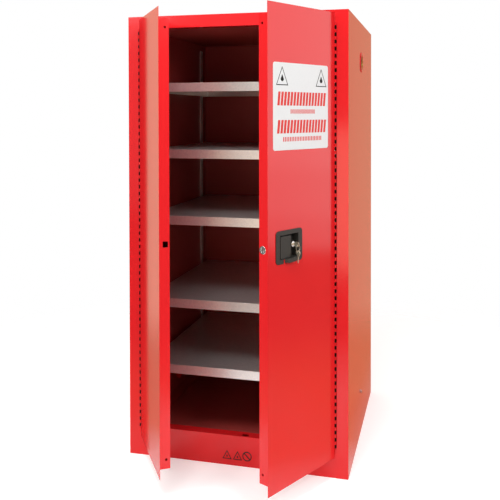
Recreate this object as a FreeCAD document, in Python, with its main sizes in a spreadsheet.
import FreeCAD, Part
import math
import os
import re

import Sketcher

# Flammables safety cabinet: a double-walled steel box with two hinged doors, five adjustable shelves,
# a liquid-tight sump, two flame-arrested vents, a key-locked paddle handle and a three-point latch.
# Frame: +Z up, the doors face -Y, +X is the viewer's right, origin on the floor under the middle of
# the body. Doors are drawn shut, and their Placement then swings them about the hinge pins.

# Driving dimensions, in millimetres and degrees.
DIMENSIONS = {
    # body: outer size, sheet thickness, and the air space between outer wall and liner
    "body_w": 842, "body_d": 862, "body_h": 1680, "gauge": 1.2, "air_space": 38,
    # front frame: clear opening, how deep the door sits in it, lintel and sill heights
    "opening_w": 754.6, "rebate": 41, "lintel_h": 46, "sill_h": 112, "sump_z": 62, "sump_deep": 50,
    # piano hinges: leaf sheet, gap between leaves, pin in front of the frame, knuckle and pin radii,
    # and the slot beside the barrel that only the door leaf's ears bridge
    "leaf_t": 1.2, "leaf_gap": 1.2, "pin_out": 5, "leaf_deep": 31, "knuckle_r": 3.5, "hinge_pin_r": 1.5,
    "knuckle_len": 12.7, "knuckle_end_gap": 1.6, "hinge_slot": 2.6, "running_gap": 0.05,
    # doors: thickness, half of the gap between them, skin and pan heights, angle they stand open
    "door_t": 36, "half_door_gap": 1.5, "skin_top_gap": 11.5, "skin_foot": 78, "pan_top_gap": 4.5,
    "pan_foot_gap": 3, "left_open": 57, "right_open": 63, "edge_hole_r": 3.9,
    "edge_hole_in": 31, "edge_hole_y": 22,
    # three-point latch: rod line, rods, throw, cam and its pins
    "rod_x": 36, "rod_in": 21.5, "rod_r": 5, "throw": 14, "bolt_z": 872, "bolt_r": 8, "cam_z": 930,
    "cam_r": 21, "cam_pin_at": 16, "cam_pin_r": 3, "link_t": 3,
    # handle: bezel, recess, paddle, lock and keys
    "bezel_x": 40.5, "bezel_w": 137.5, "bezel_z": 819.5, "bezel_h": 108.5, "bezel_t": 2.5,
    "bezel_corner": 13, "recess_x": 60, "recess_w": 97.5, "recess_z": 834, "recess_h": 79,
    "recess_deep": 24, "tray_wall": 2, "lock_x": 138.5, "lock_z": 876, "lock_r": 9, "plug_r": 6,
    "key_t": 2, "key_bow_r": 10, "key_hole_r": 3, "ring_r": 10, "ring_wire_r": 0.8,
    # shelves: size of one tray, its flange, the slot pitch and the lowest tray's height in the body
    "shelf_half_w": 369, "shelf_front": -381, "shelf_back": 380, "shelf_flange": 34, "shelf_hem": 12,
    "slot_pitch": 64, "lowest_shelf": 341, "standard_y": 320, "standard_w": 24, "standard_t": 6,
    # vents, ground screw and feet
    "vent_bore_r": 30, "vent_tube_t": 2, "vent_flange_r": 41, "vent_out": 3, "vent_seat": 17,
    "vent_high": 1520, "vent_low": 176, "ground_y": -19.5, "ground_z": 168, "foot_x": 370,
    "foot_y": 365, "foot_pad_r": 20, "stud_r": 5,
}
SHELF_STEPS = (0, 4, 9, 13, 17)     # slots between the lowest shelf and each shelf
LEFT, RIGHT = -1, 1

doc = FreeCAD.newDocument("safety_cabinet")
sheet = doc.addObject("Spreadsheet::Sheet", "Dimensions")
for row, (alias, number) in enumerate(DIMENSIONS.items(), start=1):
    sheet.set(f"A{row}", alias)
    sheet.set(f"B{row}", str(number))
    sheet.setAlias(f"B{row}", alias)
doc.recompute()

subparts = []       # the finished objects, one for each piece or group of like pieces

# Places that many pieces share, as formulas on the sheet.
FRONT = "(0 - body_d / 2)"
BACK = "(body_d / 2)"
SIDE = "(body_w / 2)"
OPENING = "(opening_w / 2)"
LINER_X = f"({SIDE} - 2 * gauge - air_space)"
LINER_Y = f"({BACK} - 2 * gauge - air_space)"
LINER_TOP = "(body_h - gauge - air_space)"
REBATE_Y = f"({FRONT} + rebate)"
LINTEL_Z = "(body_h - lintel_h)"
HINGE_X = f"({OPENING} - leaf_t - leaf_gap / 2)"
SKIN_Y = f"({FRONT} - pin_out)"
PAN_X = f"({HINGE_X} - leaf_gap / 2 - leaf_t)"
PAN_BACK = f"({SKIN_Y} + door_t)"
PAN_FOOT = "(sill_h + pan_foot_gap)"
PAN_TOP = f"({LINTEL_Z} - pan_top_gap)"
ROD_Y = f"({SKIN_Y} + rod_in)"
LINK_Y = f"({ROD_Y} - link_t / 2)"


def on_sheet(formula):
    """The formula with each alias pointing at the spreadsheet."""
    def point(match):
        word = match.group()
        return f"Dimensions.{word}" if word in DIMENSIONS else word
    return re.sub(r"[A-Za-z_]\w*", point, str(formula))


def size(formula):
    """The formula's value in millimetres."""
    return float(sheet.evalExpression(on_sheet(formula)))


def bind(thing, **properties):
    """Binds properties to formulas; a double underscore stands for a dot."""
    for name, formula in properties.items():
        thing.setExpression(name.replace("__", "."), on_sheet(formula))
    return thing


def block(name, x, y, z, side=RIGHT):
    """A box between pairs of formulas. The left side's is the mirror image of the right side's."""
    solid = doc.addObject("Part::Box", name)
    low_x, high_x = x if side == RIGHT else (f"0 - ({x[1]})", f"0 - ({x[0]})")
    bind(solid, Length=f"({high_x}) - ({low_x})", Width=f"({y[1]}) - ({y[0]})",
         Height=f"({z[1]}) - ({z[0]})")
    return bind(solid, Placement__Base__x=low_x, Placement__Base__y=y[0], Placement__Base__z=z[0])


AXIS_TURNS = {
    "X": FreeCAD.Rotation(FreeCAD.Vector(0, 1, 0), 90),
    "Y": FreeCAD.Rotation(FreeCAD.Vector(1, 0, 0), -90),
    "Z": FreeCAD.Rotation(),
}


def cylinder(name, axis, x, y, z, radius, length, side=RIGHT):
    """A cylinder that starts at (x, y, z) and runs along +axis; on the left it is mirrored."""
    solid = doc.addObject("Part::Cylinder", name)
    bind(solid, Radius=radius, Height=length)
    solid.Placement.Rotation = AXIS_TURNS[axis]
    if side == LEFT:
        x = f"0 - ({x})" if axis != "X" else f"0 - ({x}) - ({length})"
    return bind(solid, Placement__Base__x=x, Placement__Base__y=y, Placement__Base__z=z)


def fuse(name, solids):
    """One solid from several that meet."""
    joined = doc.addObject("Part::MultiFuse", name)
    joined.Shapes = solids
    joined.Refine = True
    return joined


def cut(name, base, tools):
    """The base with the tools taken out of it."""
    result = doc.addObject("Part::Cut", name)
    result.Base = base
    result.Tool = tools[0] if len(tools) == 1 else fuse(name + "_tools", tools)
    result.Refine = True
    return result


def group(name, solids):
    """Several separate solids in one object."""
    gathered = doc.addObject("Part::Compound", name)
    gathered.Links = solids
    return gathered


def drawn(name, shape):
    """A sub-part whose shape is worked out with Part's own functions."""
    thing = doc.addObject("Part::Feature", name)
    thing.Shape = shape
    return thing


def profile(body, plane, points):
    """A closed sketch on one of the body's own planes; every corner is bound to the sheet."""
    origin_plane = next(f for f in body.Origin.OriginFeatures if f.Role == plane)
    sketch = body.newObject("Sketcher::SketchObject", body.Name + "_sketch")
    sketch.AttachmentSupport = [(origin_plane, "")]
    sketch.MapMode = "FlatFace"
    corners = [FreeCAD.Vector(size(a), size(b), 0) for a, b in points]
    for here, there in zip(corners, corners[1:] + corners[:1]):
        sketch.addGeometry(Part.LineSegment(here, there), False)
    for number, (a, b) in enumerate(points):
        sketch.addConstraint(Sketcher.Constraint("Coincident", number - 1 if number else len(points) - 1, 2,
                                                 number, 1))
        for kind, formula in (("DistanceX", a), ("DistanceY", b)):
            index = sketch.addConstraint(Sketcher.Constraint(kind, -1, 1, number, 1, size(formula)))
            sketch.setExpression(f"Constraints[{index}]", on_sheet(formula))
    return sketch


def turned(name, points):
    """A body turned about Z from a half profile of (radius, height) corners."""
    body = doc.addObject("PartDesign::Body", name)
    sketch = profile(body, "XZ_Plane", points)
    turn = body.newObject("PartDesign::Revolution", name + "_turn")
    turn.Profile = sketch
    turn.ReferenceAxis = (sketch, ["V_Axis"])
    turn.Angle = 360
    return body


def padded(name, plane, points, length):
    """A body padded from an outline, up to the given length away from its plane."""
    body = doc.addObject("PartDesign::Body", name)
    pad = body.newObject("PartDesign::Pad", name + "_pad")
    pad.Profile = profile(body, plane, points)
    return bind(pad, Length=length), body


def stand(body, x, y, z, axis="Z", flip=False):
    """Moves a turned body so that its axis lies along X, Y or Z through a point."""
    turn = AXIS_TURNS[axis]
    if flip:
        turn = turn.multiply(FreeCAD.Rotation(FreeCAD.Vector(1, 0, 0), 180))
    body.Placement = FreeCAD.Placement(FreeCAD.Vector(size(x), size(y), size(z)), turn)
    return body


def keep(thing, label, door=None):
    """Names a finished sub-part. One that is on a door swings with it about the hinge pin."""
    thing.Label = label
    if door:
        name = "left_open" if door == LEFT else "right_open"
        pivot = FreeCAD.Vector(door * size(HINGE_X), size(SKIN_Y), 0)
        swing = FreeCAD.Rotation(FreeCAD.Vector(0, 0, 1), door * size(name))
        thing.Placement = FreeCAD.Placement(FreeCAD.Vector(), swing, pivot).multiply(thing.Placement)
    subparts.append(thing)
    return thing


# ---- Outer shell -------------------------------------------------------------------------------

def outer_side(side, vent_z):
    """Side sheet, bent round at the front into the stile and the return that the hinge is fixed to."""
    tag = "left" if side == LEFT else "right"
    sheets = [
        block(f"side_sheet_{tag}", (f"{SIDE} - gauge", SIDE), (FRONT, BACK), ("0", "body_h"), side),
        block(f"stile_{tag}", (OPENING, f"{SIDE} - gauge"), (FRONT, f"{FRONT} + gauge"), ("0", "body_h"),
              side),
        block(f"stile_return_{tag}", (OPENING, f"{OPENING} + gauge"), (f"{FRONT} + gauge", REBATE_Y),
              ("gauge", "body_h - gauge"), side),
    ]
    tube_r = "vent_bore_r + vent_tube_t + 0.3"
    holes = [cylinder(f"vent_hole_{tag}", "X", f"{SIDE} - 5", "0", vent_z, tube_r, "10", side)]
    if side == RIGHT:
        holes.append(cylinder("ground_hole", "X", f"{SIDE} - 5", "ground_y", "ground_z", "3.3", "10"))
    keep(cut(f"outer_side_{tag}", fuse(f"bent_side_{tag}", sheets), holes), f"outer_side_{tag}")


def between_sides(name, y, z):
    """A flat sheet from one side sheet to the other."""
    return block(name, (f"gauge - {SIDE}", f"{SIDE} - gauge"), y, z)


def shell():
    """Outer sheets, the bottom plate that the body stands on, and the front rails."""
    outer_side(LEFT, "vent_low")
    outer_side(RIGHT, "vent_high")
    keep(between_sides("outer_back", (f"{BACK} - gauge", BACK), ("0", "body_h")), "outer_back")
    inside = (f"{FRONT} + gauge", f"{BACK} - gauge")
    keep(between_sides("outer_top", inside, ("body_h - gauge", "body_h")), "outer_top")
    foot_holes = [
        cylinder(f"foot_hole_{x}{y}", "Z", f"{x} * foot_x", f"{y} * foot_y", "0 - 1", "foot_pad_r + 1.5",
                 "4")
        for x in (-1, 1) for y in (-1, 1)
    ]
    keep(cut("outer_base", between_sides("base_sheet", inside, ("0", "gauge")), foot_holes), "outer_base")
    across = (f"0 - {OPENING}", OPENING)
    slot_x = ("rod_x - 12", "rod_x + 12")
    slot_y = (f"{ROD_Y} - 8", f"{ROD_Y} + 8")
    rail = fuse("rail_sheets", [
        block("rail_face", across, (FRONT, f"{FRONT} + gauge"), (LINTEL_Z, "body_h")),
        block("rail_ledge", across, (f"{FRONT} + gauge", REBATE_Y), (LINTEL_Z, f"{LINTEL_Z} + gauge")),
        block("rail_back", across, (f"{REBATE_Y} - gauge", REBATE_Y), (LINTEL_Z, LINER_TOP)),
    ])
    keep(cut("top_rail", rail, [block("rail_slot", slot_x, slot_y,
                                      (f"{LINTEL_Z} - 1", f"{LINTEL_Z} + 3"))]), "top_rail")
    sill = fuse("sill_sheets", [
        block("sill_face", across, (FRONT, f"{FRONT} + gauge"), ("gauge", "sill_h")),
        block("sill_ledge", across, (f"{FRONT} + gauge", REBATE_Y), ("sill_h - gauge", "sill_h")),
        block("sill_back", across, (f"{REBATE_Y} - gauge", REBATE_Y), ("sump_z", "sill_h")),
    ])
    keep(cut("sill", sill, [block("sill_slot", slot_x, slot_y, ("sill_h - 3", "sill_h + 1"))]), "sill")


# ---- Liner, sump and what holds them off the outer shell ---------------------------------------

def liner():
    """Inner walls with the air space behind them, and the welded tray that holds a spill."""
    for side, tag, vent_z in ((LEFT, "left", "vent_low"), (RIGHT, "right", "vent_high")):
        wall = fuse(f"liner_sheets_{tag}", [
            block(f"liner_wall_{tag}", (LINER_X, f"{LINER_X} + gauge"), (REBATE_Y, LINER_Y),
                  ("sump_z", LINER_TOP), side),
            block(f"liner_lip_{tag}", (OPENING, LINER_X), (REBATE_Y, f"{REBATE_Y} + gauge"),
                  ("sump_z", f"{LINER_TOP} - gauge"), side),
        ])
        hole = cylinder(f"liner_vent_{tag}", "X", f"{LINER_X} - 5", "0", vent_z,
                        "vent_bore_r + vent_tube_t + 0.3",
                        "12", side)
        keep(cut(f"liner_side_{tag}", wall, [hole]), f"liner_side_{tag}")
    across = (f"0 - {LINER_X}", LINER_X)
    keep(block("liner_back", across, (LINER_Y, f"{LINER_Y} + gauge"), ("sump_z", LINER_TOP)), "liner_back")
    keep(block("liner_top", across, (REBATE_Y, LINER_Y), (f"{LINER_TOP} - gauge", LINER_TOP)), "liner_top")
    inner = f"{OPENING} - 0.4"
    tray = block("sump_outer", (f"0 - ({inner})", inner), (f"{REBATE_Y} + gauge + 0.4", f"{LINER_Y} - 0.4"),
                 ("sump_z", "sump_z + sump_deep"))
    hollow = block("sump_hollow", (f"gauge - ({inner})", f"{inner} - gauge"),
                   (f"{REBATE_Y} + 2 * gauge + 0.4", f"{LINER_Y} - gauge - 0.4"),
                   ("sump_z + gauge", "sump_z + sump_deep + 1"))
    keep(cut("sump_pan", tray, [hollow]), "sump_pan")


def z_section(name, along, start, end, low, high, at):
    """A folded spacer: a web across an air space with one flange on each wall.

    along is the way it runs, start and end its ends, low and high the two walls, at its web's place.
    """
    web, near, far = (low, high), (low, f"{low} + gauge"), (f"{high} - gauge", high)
    parts = []
    for tag, gap, wide in (("web", web, (at, f"{at} + gauge")), ("near", near, (f"{at} - 20", at)),
                           ("far", far, (f"{at} + gauge", f"{at} + 20"))):
        places = {
            "side": (gap, wide, (start, end)),
            "back": (wide, gap, (start, end)),
            "level": (wide, (start, end), gap),
        }
        parts.append(block(f"{name}_{tag}", *places[along]))
    return fuse(name, parts)


def spacers():
    """Folded sections that tie liner and outer shell together and carry the sump."""
    upright = ("sump_z + 140", "body_h - 180")
    far_wall, wall = f"{SIDE} - gauge", f"{LINER_X} + gauge"
    made = []
    for number, at in enumerate(("0 - 200", "180")):
        made.append(z_section(f"spacer_right_{number}", "side", *upright, wall, far_wall, at))
        made.append(z_section(f"spacer_left_{number}", "side", *upright, f"0 - ({far_wall})",
                              f"0 - ({wall})", at))
        made.append(z_section(f"spacer_back_{number}", "back", *upright, f"{LINER_Y} + gauge",
                              f"{BACK} - gauge", at))
        made.append(z_section(f"spacer_floor_{number}", "level", "0 - 300", "300", "gauge", "sump_z", at))
        made.append(z_section(f"spacer_top_{number}", "level", "0 - 300", "300", LINER_TOP,
                              "body_h - gauge", at))
    keep(group("wall_spacers", made), "wall_spacers")


# ---- Shelves -----------------------------------------------------------------------------------

def shelf_top(steps):
    """Height of a shelf's upper face."""
    return f"(lowest_shelf + {steps} * slot_pitch)"


def box_between(low, high):
    """A box from its two opposite corners, in millimetres."""
    return Part.makeBox(high[0] - low[0], high[1] - low[1], high[2] - low[2], FreeCAD.Vector(*low))


def standards():
    """Four slotted channels on the liner's sides that the shelf clips hook into."""
    wall, thick, width = size(LINER_X), size("standard_t"), size("standard_w")
    sheet_t, pitch = size("gauge"), size("slot_pitch")
    clip_z = size("lowest_shelf - shelf_flange")
    foot, top = size("sump_z + sump_deep") + 2, size(LINER_TOP) - 30
    made = []
    for side in (LEFT, RIGHT):
        for y in (-size("standard_y"), size("standard_y")):
            ends = sorted((side * (wall - thick), side * wall))
            inner = sorted((side * (wall - thick + sheet_t), side * wall))
            channel = box_between((ends[0], y - width / 2, foot), (ends[1], y + width / 2, top))
            channel = channel.cut(box_between((inner[0], y - width / 2 + sheet_t, foot),
                                              (inner[1], y + width / 2 - sheet_t, top)))
            lowest = clip_z - 3 * pitch + 8
            slots = [
                box_between((ends[0] - 1, y - 3, lowest + n * pitch - 14),
                            (ends[1] + 1, y + 3, lowest + n * pitch))
                for n in range(24) if lowest + n * pitch - 14 > foot and lowest + n * pitch < top
            ]
            made.append(channel.cut(Part.makeCompound(slots)).removeSplitter())
    keep(drawn("shelf_standards", Part.makeCompound(made)), "shelf_standards")


def clips():
    """Twenty folded hooks, four under each shelf: a hook in the slot, a leg and the tongue that carries."""
    face = size(f"{LINER_X} - standard_t")
    made = []
    for steps in SHELF_STEPS:
        top = size(f"{shelf_top(steps)} - shelf_flange") - 0.1
        for side in (LEFT, RIGHT):
            for y in (-size("standard_y"), size("standard_y")):
                def piece(near, far, half, low, high):
                    """A bar of the clip, measured outward from the channel's face."""
                    ends = sorted((side * (face - near), side * (face - far)))
                    return box_between((ends[0], y - half, top - low), (ends[1], y + half, top - high))
                leg = piece(0.1, 1.7, 8, 24, 0)
                tongue = piece(0.1, 20, 8, 2, 0)
                hook = piece(-4, 0.2, 2.2, 5, -6)
                made.append(leg.fuse([tongue, hook]).removeSplitter())
    keep(drawn("shelf_clips", Part.makeCompound(made)), "shelf_clips")


def shelf(number, steps):
    """A folded tray, upside down: flat top, flanges all round, and hems under the front and the back."""
    top = shelf_top(steps)
    foot = f"{top} - shelf_flange"
    across, deep = ("0 - shelf_half_w", "shelf_half_w"), ("shelf_front", "shelf_back")
    name = f"shelf_{number}"
    outer = block(f"{name}_outer", across, deep, (foot, top))
    hollow = block(f"{name}_hollow", ("gauge - shelf_half_w", "shelf_half_w - gauge"),
                   ("shelf_front + gauge", "shelf_back - gauge"), (f"{foot} + gauge", f"{top} - gauge"))
    mouth = block(f"{name}_mouth", ("gauge - shelf_half_w", "shelf_half_w - gauge"),
                  ("shelf_front + shelf_hem", "shelf_back - shelf_hem"), (f"{foot} - 1", f"{foot} + gauge"))
    tray = cut(f"{name}_tray", outer, [hollow, mouth])
    rib = cut(f"{name}_rib", block(f"{name}_rib_outer", ("0 - 320", "320"), ("0 - 22", "22"),
                                   (f"{top} - gauge - 22", f"{top} - gauge")),
              [block(f"{name}_rib_hollow", ("0 - 321", "321"), ("gauge - 22", "22 - gauge"),
                     (f"{top} - 22", f"{top} - gauge"))])
    keep(fuse(name, [tray, rib]), name)


# ---- Piano hinges ------------------------------------------------------------------------------

def hinge_leaf(name, side, on_door):
    """One leaf: a strip in the gap between door and stile, and every second knuckle round the pin.

    Each of the door leaf's knuckles also has an ear that reaches over the slot to the skin's edge.
    """
    axis_x, axis_y = size(HINGE_X), size(SKIN_Y)
    foot, top = size("sill_h"), size(LINTEL_Z)
    knuckle, radius, end_gap = size("knuckle_len"), size("knuckle_r"), size("knuckle_end_gap")
    strip_near = -size("leaf_gap / 2 + leaf_t") if on_door else size("leaf_gap / 2")
    strip_far = strip_near + size("leaf_t")
    strip = box_between((axis_x + strip_near, axis_y + radius + 0.4, foot),
                        (axis_x + strip_far, axis_y + size("leaf_deep"), top))
    bore = size("hinge_pin_r") + (size("running_gap") if on_door else 0)
    pieces = []
    for n in range(math.ceil((top - foot) / knuckle)):
        if (n % 2 == 1) == on_door:
            low = foot + n * knuckle
            high = min(low + knuckle, top) - end_gap
            at = FreeCAD.Vector(axis_x, axis_y, low)
            ring = Part.makeCylinder(radius, high - low, at).cut(Part.makeCylinder(bore, high - low, at))
            tab = box_between((axis_x + strip_near, axis_y + 2.2, low),
                              (axis_x + strip_far, axis_y + radius + 1, high))
            ear = box_between((axis_x - radius - size("hinge_slot") + 0.3, axis_y, low),
                              (axis_x - 2.2, axis_y + size("gauge"), high))
            pieces.append(ring.fuse([tab, ear] if on_door else tab))
    leaf = strip.fuse(pieces).removeSplitter()
    if side == LEFT:
        leaf = leaf.mirror(FreeCAD.Vector(), FreeCAD.Vector(1, 0, 0))
    keep(drawn(name, leaf), name, side if on_door else None)


def hinges():
    """Both piano hinges; each pin is held by the frame leaf's knuckles."""
    pins = []
    for side, tag in ((LEFT, "left"), (RIGHT, "right")):
        hinge_leaf(f"hinge_frame_leaf_{tag}", side, False)
        hinge_leaf(f"hinge_door_leaf_{tag}", side, True)
        pins.append(cylinder(f"hinge_pin_{tag}", "Z", HINGE_X, SKIN_Y, "sill_h", "hinge_pin_r",
                             f"{LINTEL_Z} - sill_h - knuckle_end_gap", side))
    keep(group("hinge_pins", pins), "hinge_pins")


# ---- Doors -------------------------------------------------------------------------------------

def door(side, tag, skin_holes, pan_holes):
    """Flat outer skin, the folded pan behind it and the liner sheet that closes the pan."""
    pan_x = ("half_door_gap", PAN_X)
    skin_x = ("half_door_gap", f"{HINGE_X} - knuckle_r - hinge_slot")
    skin_y = (SKIN_Y, f"{SKIN_Y} + gauge")
    sheet_skin = block(f"{tag}_skin_sheet", skin_x, skin_y, ("skin_foot", "body_h - skin_top_gap"), side)
    skin = cut(f"{tag}_skin_cut", sheet_skin, skin_holes) if skin_holes else group(f"{tag}_skin",
                                                                                   [sheet_skin])
    keep(skin, f"{tag}_door_skin", side)
    pan = block(f"{tag}_pan_block", pan_x, (f"{SKIN_Y} + gauge", f"{PAN_BACK} - gauge"),
                (PAN_FOOT, PAN_TOP), side)
    inner_z = (f"{PAN_FOOT} + gauge", f"{PAN_TOP} - gauge")
    hollows = [
        block(f"{tag}_pan_hollow", ("half_door_gap + gauge", f"{PAN_X} - gauge"),
              (f"{SKIN_Y} + knuckle_r + 1.8", f"{PAN_BACK} + 1"), inner_z, side),
        block(f"{tag}_pan_front_hollow", ("half_door_gap + gauge",
                                          f"{HINGE_X} - knuckle_r - hinge_slot - 1.4"),
              (f"{SKIN_Y} + 2 * gauge", f"{SKIN_Y} + knuckle_r + 2"), inner_z, side),
        block(f"{tag}_pan_window", ("half_door_gap + 13", f"{PAN_X} - 16"),
              (f"{SKIN_Y} - 1", f"{SKIN_Y} + 4"),
              (f"{PAN_FOOT} + 13", f"{PAN_TOP} - 13"), side),
        block(f"{tag}_pan_knuckle_room", (f"{HINGE_X} - knuckle_r - hinge_slot - 0.2", f"{PAN_X} + 1"),
              (f"{SKIN_Y} - 1", f"{SKIN_Y} + knuckle_r + 0.6"), (f"{PAN_FOOT} - 1", f"{PAN_TOP} + 1"), side),
    ]
    for end, z in (("low", f"{PAN_FOOT} + edge_hole_in"), ("high", f"{PAN_TOP} - edge_hole_in")):
        hollows.append(cylinder(f"{tag}_edge_hole_{end}", "X", "half_door_gap - 2",
                                f"{SKIN_Y} + edge_hole_y", z,
                                "edge_hole_r", "6", side))
    keep(cut(f"{tag}_pan", pan, hollows + pan_holes), f"{tag}_door_pan", side)
    liner_sheet = block(f"{tag}_liner_sheet", pan_x, (f"{PAN_BACK} - gauge", PAN_BACK), (PAN_FOOT, PAN_TOP),
                        side)
    field = block(f"{tag}_liner_field", ("half_door_gap + 40", f"{PAN_X} - 40"),
                  (PAN_BACK, f"{PAN_BACK} + 1.2"),
                  (f"{PAN_FOOT} + 60", f"{PAN_TOP} - 60"), side)
    keep(fuse(f"{tag}_liner", [liner_sheet, field]), f"{tag}_door_liner", side)


def left_door():
    """The left door is held shut by the right door's bolt, which enters the strike in its edge."""
    hole_y = (f"{ROD_Y} - 9", f"{ROD_Y} + 9")
    hole_z = ("bolt_z - 10", "bolt_z + 10")
    door(LEFT, "left", [], [block("strike_hole", ("half_door_gap - 2", "half_door_gap + 4"), hole_y, hole_z,
                                  LEFT)])
    plate = block("strike_sheet", ("half_door_gap + gauge", "half_door_gap + gauge + 2"),
                  (f"{ROD_Y} - 15", f"{ROD_Y} + 12"), ("bolt_z - 24", "bolt_z + 24"), LEFT)
    mouth = block("strike_mouth", ("half_door_gap - 2", "half_door_gap + 6"), hole_y, hole_z, LEFT)
    keep(cut("strike", plate, [mouth]), "strike_plate", LEFT)


def right_door():
    """The right door carries the handle, the lock, the label and the latch."""
    room = "(tray_wall + 0.5)"
    skin_hole = block("handle_hole", (f"recess_x - {room}", f"recess_x + recess_w + {room}"),
                      (f"{SKIN_Y} - 1", f"{SKIN_Y} + 3"),
                      (f"recess_z - {room}", f"recess_z + recess_h + {room}"))
    holes = [cylinder("guide_hole", "X", "half_door_gap - 2", ROD_Y, "bolt_z", "bolt_r + 3.3", "6")]
    for end, z in (("low", PAN_FOOT), ("high", PAN_TOP)):
        holes.append(cylinder(f"rod_hole_{end}", "Z", "rod_x", ROD_Y, f"{z} - 4", "rod_r + 1", "8"))
    door(RIGHT, "right", [skin_hole], holes)
    label = fuse("label_sheets", [
        block("label_wide", ("28.5", "328.5"), (f"{SKIN_Y} - 0.4", SKIN_Y), ("1198", "1468")),
        block("label_tall", ("36.5", "320.5"), (f"{SKIN_Y} - 0.4", SKIN_Y), ("1190", "1476")),
    ])
    keep(label, "door_label", RIGHT)
    cover = block("cover_sheet", ("half_door_gap + 4", "half_door_gap + 38"),
                  (PAN_BACK, f"{PAN_BACK} + gauge"),
                  ("bolt_z - 45", "cam_z + 60"))
    keep(group("cover", [cover]), "latch_cover", RIGHT)


# ---- Three-point latch -------------------------------------------------------------------------

HALF_TURN = math.degrees(math.asin(size("throw / 2") / size("cam_pin_at")))   # cam angle each side of level


def slot_y(name, x, z, run_x, run_z, radius):
    """A round-ended slot through a link, from one centre to another, cut along Y."""
    low, deep = f"{LINK_Y} - 2", "link_t + 4"
    start = cylinder(f"{name}_start", "Y", x, low, z, radius, deep)
    end = cylinder(f"{name}_end", "Y", f"{x} + {run_x}", low, f"{z} + {run_z}", radius, deep)
    length = math.hypot(size(run_x), size(run_z))
    tilt = math.degrees(math.atan2(size(run_z), size(run_x)))
    middle = doc.addObject("Part::Box", f"{name}_middle")
    bind(middle, Width=deep, Height=f"2 * ({radius})")
    middle.Length = length
    middle.Placement = FreeCAD.Placement(FreeCAD.Vector(size(x), size(low), size(z)),
                                         FreeCAD.Rotation(FreeCAD.Vector(0, 1, 0), -tilt)).multiply(
        FreeCAD.Placement(FreeCAD.Vector(0, 0, -size(radius)), FreeCAD.Rotation()))
    return [start, end, middle]


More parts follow.
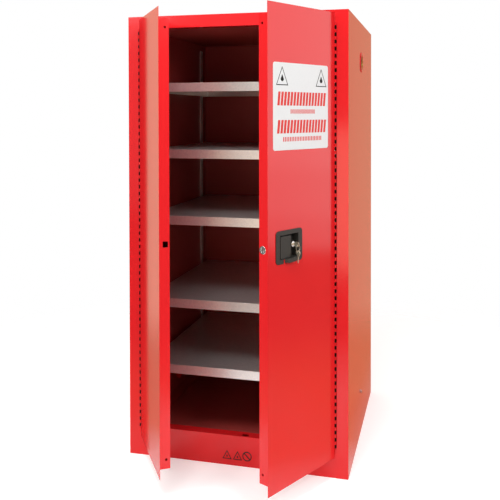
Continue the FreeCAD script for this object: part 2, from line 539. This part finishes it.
def latch():
    """Cam, two rods and a bolt, drawn pulled back; the cam's turn of 52 degrees throws all three."""
    link = (LINK_Y, f"{LINK_Y} + link_t")
    pin_slot_r = "cam_pin_r + 0.35"
    swing = f"cam_pin_at * {math.cos(math.radians(HALF_TURN)):.5f}"
    sag = f"(cam_pin_at - {swing})"
    # The top rod hangs on the cam's right pin, which stands low at rest.
    top_links = fuse("top_link", [
        block("top_link_head", ("rod_x - 5", "rod_x + 21.4"), link, ("cam_z + 16", "cam_z + 32")),
        block("top_link_arm", ("rod_x + 8", "rod_x + 21.4"), link, ("cam_z - 14", "cam_z + 32")),
        cylinder("top_bar", "Z", "rod_x", ROD_Y, "cam_z + 25", "rod_r", f"{PAN_TOP} - 1.5 - cam_z - 25"),
    ])
    top_slot = slot_y("top_slot", f"rod_x + {swing} - 0.3", "cam_z - throw / 2", f"({sag} + 0.6)", "0",
                      pin_slot_r)
    keep(cut("top_rod_cut", top_links, top_slot), "top_rod", RIGHT)
    # The bottom rod hangs on the left pin; its wide part carries the slanted slot that drives the bolt.
    bottom_links = fuse("bottom_link", [
        block("bottom_link_wide", ("rod_x - 22", "rod_x + 10"), link, ("bolt_z - 30", "bolt_z + 28")),
        block("bottom_link_arm", ("rod_x - 24", "rod_x - 8"), link, ("bolt_z + 23", "cam_z + 14")),
        cylinder("bottom_bar", "Z", "rod_x", ROD_Y, f"{PAN_FOOT} + 1.5", "rod_r",
                 f"bolt_z - 26 - {PAN_FOOT} - 1.5"),
    ])
    bottom_slot = slot_y("bottom_slot", f"rod_x - {swing} + 0.3", "cam_z + throw / 2", f"(0 - {sag} - 0.6)",
                         "0",
                         pin_slot_r)
    drive_slot = slot_y("drive_slot", "rod_x - 1.6", "bolt_z - 0.4", "(0 - throw - 0.8)", "throw + 0.8",
                        "2.75")
    keep(cut("bottom_rod_cut", bottom_links, bottom_slot + drive_slot), "bottom_rod", RIGHT)
    # The bolt is forked round the bottom rod's link and pinned through its slanted slot.
    nose = block("bolt_nose", ("half_door_gap + 0.6", "half_door_gap + 10"),
                 (f"{ROD_Y} - 3", f"{ROD_Y} + 3"),
                 ("bolt_z - bolt_r + 0.7", "bolt_z + bolt_r - 0.7"))
    bar = cylinder("bolt_bar", "X", "half_door_gap + 9", ROD_Y, "bolt_z", "bolt_r", "28")
    fork = block("bolt_fork", ("half_door_gap + 12", "half_door_gap + 40"),
                 (f"{LINK_Y} - 0.4", f"{LINK_Y} + link_t + 0.4"),
                 ("bolt_z - 10", "bolt_z + 10"))
    pin = cylinder("bolt_pin", "Y", "rod_x - 2", f"{ROD_Y} - 6.5", "bolt_z", "2.5", "13")
    bolt = fuse("bolt", [nose, cut("bolt_forked", bar, [fork]), pin])
    keep(bolt, "centre_bolt", RIGHT)
    # Cam, its pivot and the plate that holds the pivot on the door's liner.
    cam_y = f"({LINK_Y} + link_t + 4)"
    rest = math.radians(HALF_TURN)
    pins = []
    for tag, turn in (("right", -rest), ("left", math.pi - rest)):
        pins.append(cylinder(f"cam_pin_{tag}", "Y", f"rod_x + cam_pin_at * {math.cos(turn):.6f}",
                             f"{LINK_Y} - 1.5",
                             f"cam_z + cam_pin_at * {math.sin(turn):.6f}", "cam_pin_r", "link_t + 6"))
    disc = cylinder("cam_disc", "Y", "rod_x", cam_y, "cam_z", "cam_r", "3")
    bore = cylinder("cam_bore", "Y", "rod_x", f"{cam_y} - 1", "cam_z", "4 + running_gap", "5")
    keep(cut("cam_cut", fuse("cam_solid", [disc] + pins), [bore]), "latch_cam", RIGHT)
    plate_y = f"({PAN_BACK} - gauge - 1.5)"
    shank = cylinder("pivot_shank", "Y", "rod_x", f"{cam_y} - 0.3", "cam_z", "4",
                     f"{plate_y} - {cam_y} + 0.3")
    head = cylinder("pivot_head", "Y", "rod_x", f"{cam_y} - 2.8", "cam_z", "6.5", "2.5")
    keep(fuse("pivot", [shank, head]), "cam_pivot", RIGHT)
    plate = fuse("plate_solid", [
        block("plate_sheet", ("rod_x - 26", "rod_x + 26"), (plate_y, f"{plate_y} + 1.5"),
              ("cam_z - 34", "cam_z + 34")),
        cut("plate_boss", cylinder("boss_outer", "Y", "rod_x", f"{cam_y} + 3.3", "cam_z", "9",
                                   f"{plate_y} - {cam_y} - 3.3"),
            [cylinder("boss_bore", "Y", "rod_x", f"{cam_y} + 3", "cam_z", "4 + running_gap",
                      f"{plate_y} - {cam_y}")]),
    ])
    keep(plate, "latch_plate", RIGHT)
    saddles = []
    for number, z in enumerate(("220", "520", "760", "1080", "1320", "1560")):
        solid = block(f"saddle_{number}", ("rod_x - 11", "rod_x + 11"),
                      (f"{ROD_Y} - 8", f"{PAN_BACK} - gauge"),
                      (f"{z} - 6", f"{z} + 6"))
        saddles.append(cut(f"rod_guide_{number}", solid, [
            cylinder(f"saddle_bore_{number}", "Z", "rod_x", ROD_Y, f"{z} - 8", "rod_r + running_gap",
                     "16")]))
    keep(group("rod_guides_group", saddles), "rod_guides", RIGHT)
    guide = turned("latch_guide_body", [
        ("bolt_r + 0.1", "0"), ("bolt_r + 4.6", "0"), ("bolt_r + 5.5", "0.7"), ("bolt_r + 5.5", "1.2"),
        ("bolt_r + 3", "1.2"), ("bolt_r + 3", "10"), ("bolt_r + 0.1", "10")])
    stand(guide, "half_door_gap - 1.2", ROD_Y, "bolt_z", "X")
    keep(guide, "latch_guide", RIGHT)


# ---- Handle, lock and keys ---------------------------------------------------------------------

def handle():
    """Black recessed tray with a hinged paddle, a notch with the padlock tab, and the cylinder lock."""
    face = f"({SKIN_Y} - bezel_t)"
    corners_x = ("bezel_x", "bezel_x + bezel_w")
    flange = block("bezel_sheet", corners_x, (face, SKIN_Y), ("bezel_z", "bezel_z + bezel_h"))
    doc.recompute()
    rounded = doc.addObject("Part::Fillet", "bezel_round")
    rounded.Base = flange
    radius = size("bezel_corner")
    along_y = [n for n, edge in enumerate(flange.Shape.Edges, start=1)
               if abs(edge.tangentAt(edge.FirstParameter).y) > 0.9]
    rounded.Edges = [(n, radius, radius) for n in along_y]
    tray = block("tray_block", ("recess_x - tray_wall", "recess_x + recess_w + tray_wall"),
                 (SKIN_Y, f"{SKIN_Y} + recess_deep + tray_wall"),
                 ("recess_z - tray_wall", "recess_z + recess_h + tray_wall"))
    hollow = block("tray_hollow", ("recess_x", "recess_x + recess_w"),
                   (f"{face} - 1", f"{SKIN_Y} + recess_deep"),
                   ("recess_z", "recess_z + recess_h"))
    notch = block("bezel_notch", ("80", "132"), (f"{face} - 1", SKIN_Y), ("bezel_z - 1", "recess_z + 1"))
    pin_hole = cylinder("paddle_pin_hole", "Z", "recess_x + 6.5", f"{SKIN_Y} + 4.5", "recess_z - 2", "1.6",
                        "recess_h + 4")
    keep(cut("bezel_cut", fuse("bezel_solid", [rounded, tray]), [hollow, notch, pin_hole]), "handle_bezel",
         RIGHT)
    # Padlock tab: a wedge-ended block in the notch with an upright eye.
    pad, body = padded("padlock_tab_body", "XY_Plane", [
        ("88", SKIN_Y), ("94", f"{SKIN_Y} - 13"), ("131", f"{SKIN_Y} - 13"), ("131", SKIN_Y)], "13")
    body.Placement = FreeCAD.Placement(FreeCAD.Vector(0, 0, size("bezel_z") + 2), FreeCAD.Rotation())
    doc.recompute()
    eye = body.newObject("PartDesign::SubtractiveCylinder", "padlock_eye")
    bind(eye, Radius="4.5", Height="20")
    eye.Placement.Base = FreeCAD.Vector(110, size(SKIN_Y) - 7, -5)
    keep(body, "padlock_tab", RIGHT)
    # Paddle: a flat plate with a turned-in grip edge, hung on an upright pin at its left.
    pin_x, pin_y = "(recess_x + 6.5)", f"({SKIN_Y} + 4.5)"
    pad, plate = padded("paddle_plate", "XY_Plane", [
        ("recess_x + 4.5", f"{SKIN_Y} - 1.5"), ("recess_x + 57", f"{SKIN_Y} - 1.5"),
        ("recess_x + 63", f"{SKIN_Y} + 1.5"),
        ("recess_x + 63", f"{SKIN_Y} + 7"), ("recess_x + 60.5", f"{SKIN_Y} + 7"),
        ("recess_x + 56", f"{SKIN_Y} + 1.5"), ("recess_x + 4.5", f"{SKIN_Y} + 1.5")], "recess_h - 7")
    plate.Placement = FreeCAD.Placement(FreeCAD.Vector(0, 0, size("recess_z") + 2), FreeCAD.Rotation())
    barrel = cylinder("paddle_barrel", "Z", pin_x, pin_y, "recess_z + 2", "3.4", "recess_h - 7")
    bore = cylinder("paddle_bore", "Z", pin_x, pin_y, "recess_z", "1.6 + running_gap", "recess_h")
    keep(cut("paddle_cut", fuse("paddle_solid", [plate, barrel]), [bore]), "paddle", RIGHT)
    pin = cylinder("paddle_pin_bar", "Z", pin_x, pin_y, "recess_z - 2", "1.6", "recess_h + 4")
    keep(group("paddle_pin_group", [pin]), "paddle_pin", RIGHT)
    # Lock: housing on the tray's floor, and the plug that the key turns.
    lock_face, floor = f"({SKIN_Y} + 5)", f"({SKIN_Y} + recess_deep)"
    housing = cut("lock_housing", cylinder("housing_bar", "Y", "lock_x", lock_face, "lock_z", "lock_r",
                                           f"{floor} - {lock_face}"),
                  [cylinder("housing_bore", "Y", "lock_x", f"{lock_face} - 1", "lock_z",
                            "plug_r + running_gap",
                            f"{floor} - {lock_face} + 0.5")])
    keep(housing, "lock_housing", RIGHT)
    keyway = block("keyway", ("lock_x - key_t / 2 - 0.2", "lock_x + key_t / 2 + 0.2"),
                   (f"{lock_face} - 2", f"{floor} - 2.2"),
                   ("lock_z - 4", "lock_z + 4"))
    plug = cylinder("plug_bar", "Y", "lock_x", f"{lock_face} - 0.8", "lock_z", "plug_r",
                    f"{floor} - {lock_face} - 0.2")
    keep(cut("plug", plug, [keyway]), "lock_plug", RIGHT)


KEY_BOW_Y = f"({SKIN_Y} - 10)"
KEY_HOLE_Y = f"({KEY_BOW_Y} - 5.5)"
RING_TOP = "(lock_z - key_hole_r + ring_wire_r + 0.4)"
RING_Z = f"({RING_TOP} - ring_r)"
SPARE_HOLE_Z = f"({RING_Z} - ring_r - key_hole_r + ring_wire_r + 0.4)"


def keys():
    """The key in the lock, a split ring through its bow, and the spare key hanging on the ring."""
    half = "lock_x - key_t / 2"
    bow = cylinder("key_bow", "X", half, KEY_BOW_Y, "lock_z", "key_bow_r", "key_t")
    blade = block("key_blade", (half, "lock_x + key_t / 2"), (KEY_BOW_Y, f"{SKIN_Y} + recess_deep - 4"),
                  ("lock_z - 3.6", "lock_z + 3.6"))
    hole = cylinder("key_eye", "X", f"{half} - 1", KEY_HOLE_Y, "lock_z", "key_hole_r", "key_t + 2")
    keep(cut("key_cut", fuse("key_solid", [bow, blade]), [hole]), "key", RIGHT)
    ring = doc.addObject("Part::Torus", "ring_torus")
    bind(ring, Radius1="ring_r", Radius2="ring_wire_r")
    ring.Placement = FreeCAD.Placement(FreeCAD.Vector(size("lock_x"), size(KEY_HOLE_Y), size(RING_Z)),
                                       AXIS_TURNS["Y"])
    keep(ring, "key_ring", RIGHT)
    bow_z = f"({SPARE_HOLE_Z} - 4.8)"
    spare_bow = cylinder("spare_bow", "X", half, KEY_HOLE_Y, bow_z, "key_bow_r - 1", "key_t")
    spare_blade = block("spare_blade", (half, "lock_x + key_t / 2"),
                        (f"{KEY_HOLE_Y} - 3.4", f"{KEY_HOLE_Y} + 3.4"),
                        (f"{bow_z} - 33", bow_z))
    spare_eye = cylinder("spare_eye", "X", f"{half} - 1", KEY_HOLE_Y, SPARE_HOLE_Z, "key_hole_r",
                         "key_t + 2")
    keep(cut("spare_cut", fuse("spare_solid", [spare_bow, spare_blade]), [spare_eye]), "spare_key", RIGHT)


# ---- Vents, ground screw and feet --------------------------------------------------------------

def vents():
    """Flanged tubes through both walls, high on the right and low on the left, each with its arrester."""
    outer_r, through = "(vent_bore_r + vent_tube_t)", "(air_space + 2 * gauge + 6)"
    sockets, arresters = [], []
    for side, tag, z in ((LEFT, "low", "vent_low"), (RIGHT, "high", "vent_high")):
        socket = turned(f"vent_socket_{tag}", [
            ("vent_bore_r + 1", f"0 - {through}"), (outer_r, f"0 - {through}"), (outer_r, "0"),
            ("vent_flange_r", "0"), ("vent_flange_r", "vent_out - 1.2"), ("vent_flange_r - 1.2", "vent_out"),
            ("vent_bore_r + 1", "vent_out"), ("vent_bore_r", "vent_out - 1"),
            ("vent_bore_r", "0 - vent_seat"),
            ("vent_bore_r + 1", "0 - vent_seat")])
        turn = FreeCAD.Rotation(FreeCAD.Vector(0, 1, 0), 90 * side)
        socket.Placement = FreeCAD.Placement(FreeCAD.Vector(side * size(SIDE), 0, size(z)), turn)
        sockets.append(socket)
        arresters.append(cylinder(f"arrester_{tag}", "X", f"{SIDE} - vent_seat - 5.2", "0", z,
                                  "vent_bore_r + 1 - running_gap", "5", side))
    keep(group("vent_sockets_group", sockets), "vent_sockets")
    keep(group("arresters_group", arresters), "flame_arresters")


def ground_terminal():
    """Bonding screw with its washer on the right side sheet."""
    washer = cut("ground_washer", cylinder("washer_disc", "X", SIDE, "ground_y", "ground_z", "7.5", "1.2"),
                 [cylinder("washer_hole", "X", f"{SIDE} - 1", "ground_y", "ground_z", "3.3", "4")])
    head = doc.addObject("Part::Prism", "ground_head")
    head.Polygon = 6
    bind(head, Circumradius="5.8", Height="4")
    head.Placement = FreeCAD.Placement(FreeCAD.Vector(size(SIDE) + 1.2, size("ground_y"), size("ground_z")),
                                       AXIS_TURNS["X"])
    shank = cylinder("ground_shank", "X", f"{SIDE} - 14", "ground_y", "ground_z", "3", "17")
    keep(group("ground_group", [washer, fuse("ground_bolt", [head, shank])]), "ground_screw")


def feet():
    """Levelling feet, wound up flush with the bottom plate, in bridges that carry the thread."""
    bridges = []
    for x, across in ((LEFT, "left"), (RIGHT, "right")):
        for y, along in ((-1, "front"), (1, "rear")):
            tag = f"{along}_{across}"
            foot = turned(f"foot_{tag}_body", [
                ("0", "1"), ("foot_pad_r - 2", "1"), ("foot_pad_r", "3"), ("foot_pad_r", "6"), ("9", "10"),
                ("stud_r", "10"), ("stud_r", "52"), ("stud_r - 1.2", "53.2"), ("0", "53.2")])
            at = FreeCAD.Vector(x * size("foot_x"), y * size("foot_y"), 0)
            foot.Placement = FreeCAD.Placement(at, FreeCAD.Rotation())
            keep(foot, f"foot_{tag}")
            cx, cy = f"{x} * foot_x", f"{y} * foot_y"
            bridge = fuse(f"bridge_solid_{tag}", [
                block(f"bridge_top_{tag}", (f"{cx} - 30", f"{cx} + 30"), (f"{cy} - 22", f"{cy} + 22"),
                      ("28", "31")),
                block(f"bridge_near_{tag}", (f"{cx} - 30", f"{cx} - 27"), (f"{cy} - 22", f"{cy} + 22"),
                      ("gauge", "31")),
                block(f"bridge_far_{tag}", (f"{cx} + 27", f"{cx} + 30"), (f"{cy} - 22", f"{cy} + 22"),
                      ("gauge", "31")),
                cylinder(f"thread_boss_{tag}", "Z", cx, cy, "28", "11", "14"),
            ])
            bridges.append(cut(f"foot_bridge_{tag}", bridge, [
                cylinder(f"thread_bore_{tag}", "Z", cx, cy, "20", "stud_r + running_gap", "30")]))
    keep(group("bridges_group", bridges), "foot_bridges")


def check_and_write():
    """Stops on any failed object or bad shape, then writes one STEP file for each sub-part."""
    doc.recompute()
    failed = [thing.Name for thing in doc.Objects if {"Invalid", "Error"} & set(thing.State)]
    if failed:
        raise RuntimeError(f"these objects failed: {failed}")
    os.makedirs("parts", exist_ok=True)
    for old in os.listdir("parts"):
        os.remove(os.path.join("parts", old))
    for thing in subparts:
        shape = thing.Shape
        if shape.isNull() or not shape.isValid() or not shape.Solids:
            raise RuntimeError(f"{thing.Label} has no valid solid")
        shape.exportStep(os.path.join("parts", thing.Label + ".step"))
        print(f"{thing.Label:24s} solids {len(shape.Solids):3d}  volume {shape.Volume / 1000:10.2f} cm3")


shell()
liner()
spacers()
standards()
clips()
for number, steps in enumerate(reversed(SHELF_STEPS), start=1):
    shelf(number, steps)
hinges()
left_door()
right_door()
latch()
handle()
keys()
vents()
ground_terminal()
feet()
check_and_write()
